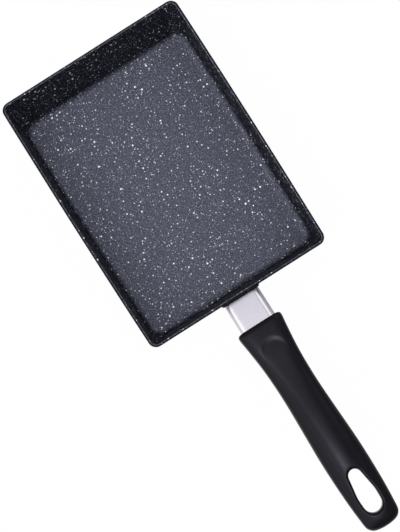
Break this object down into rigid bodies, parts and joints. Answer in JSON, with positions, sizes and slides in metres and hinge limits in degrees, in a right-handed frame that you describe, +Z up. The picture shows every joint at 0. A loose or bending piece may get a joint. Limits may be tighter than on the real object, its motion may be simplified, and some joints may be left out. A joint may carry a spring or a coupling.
{
  "type": "tamagoyaki pan",
  "caption": "Rectangular omelette pan with a sloped far wall, a speckled non-stick coating, a steel flame guard and a moulded handle with a hanging slot.",
  "frame": {"origin": "on the underside of the base, below the centre of the rim", "axes": "+X from the pan towards the handle, +Z up, +Y to the left of someone who looks along +X"},
  "size_m": [0.3472, 0.1298, 0.0511],
  "materials": {
    "coated_aluminium": "cast aluminium under a dark grey stone-effect non-stick coating with white and grey specks",
    "stainless_plate": "magnetic stainless sheet, perforated and pressed flush, satin",
    "stainless_guard": "drawn stainless tube, satin to half bright",
    "phenolic": "black moulded phenolic, soft satin",
    "steel_insert": "turned steel",
    "zinc_steel": "zinc-plated steel"
  },
  "bodies": {
    "root": {"pan_body": "coated_aluminium", "induction_plate": "stainless_plate", "threaded_insert": "steel_insert", "flame_guard": "stainless_guard", "handle": "phenolic", "handle_screw": "zinc_steel", "flat_washer": "zinc_steel", "spring_washer": "zinc_steel"}
  },
  "joints": []
}
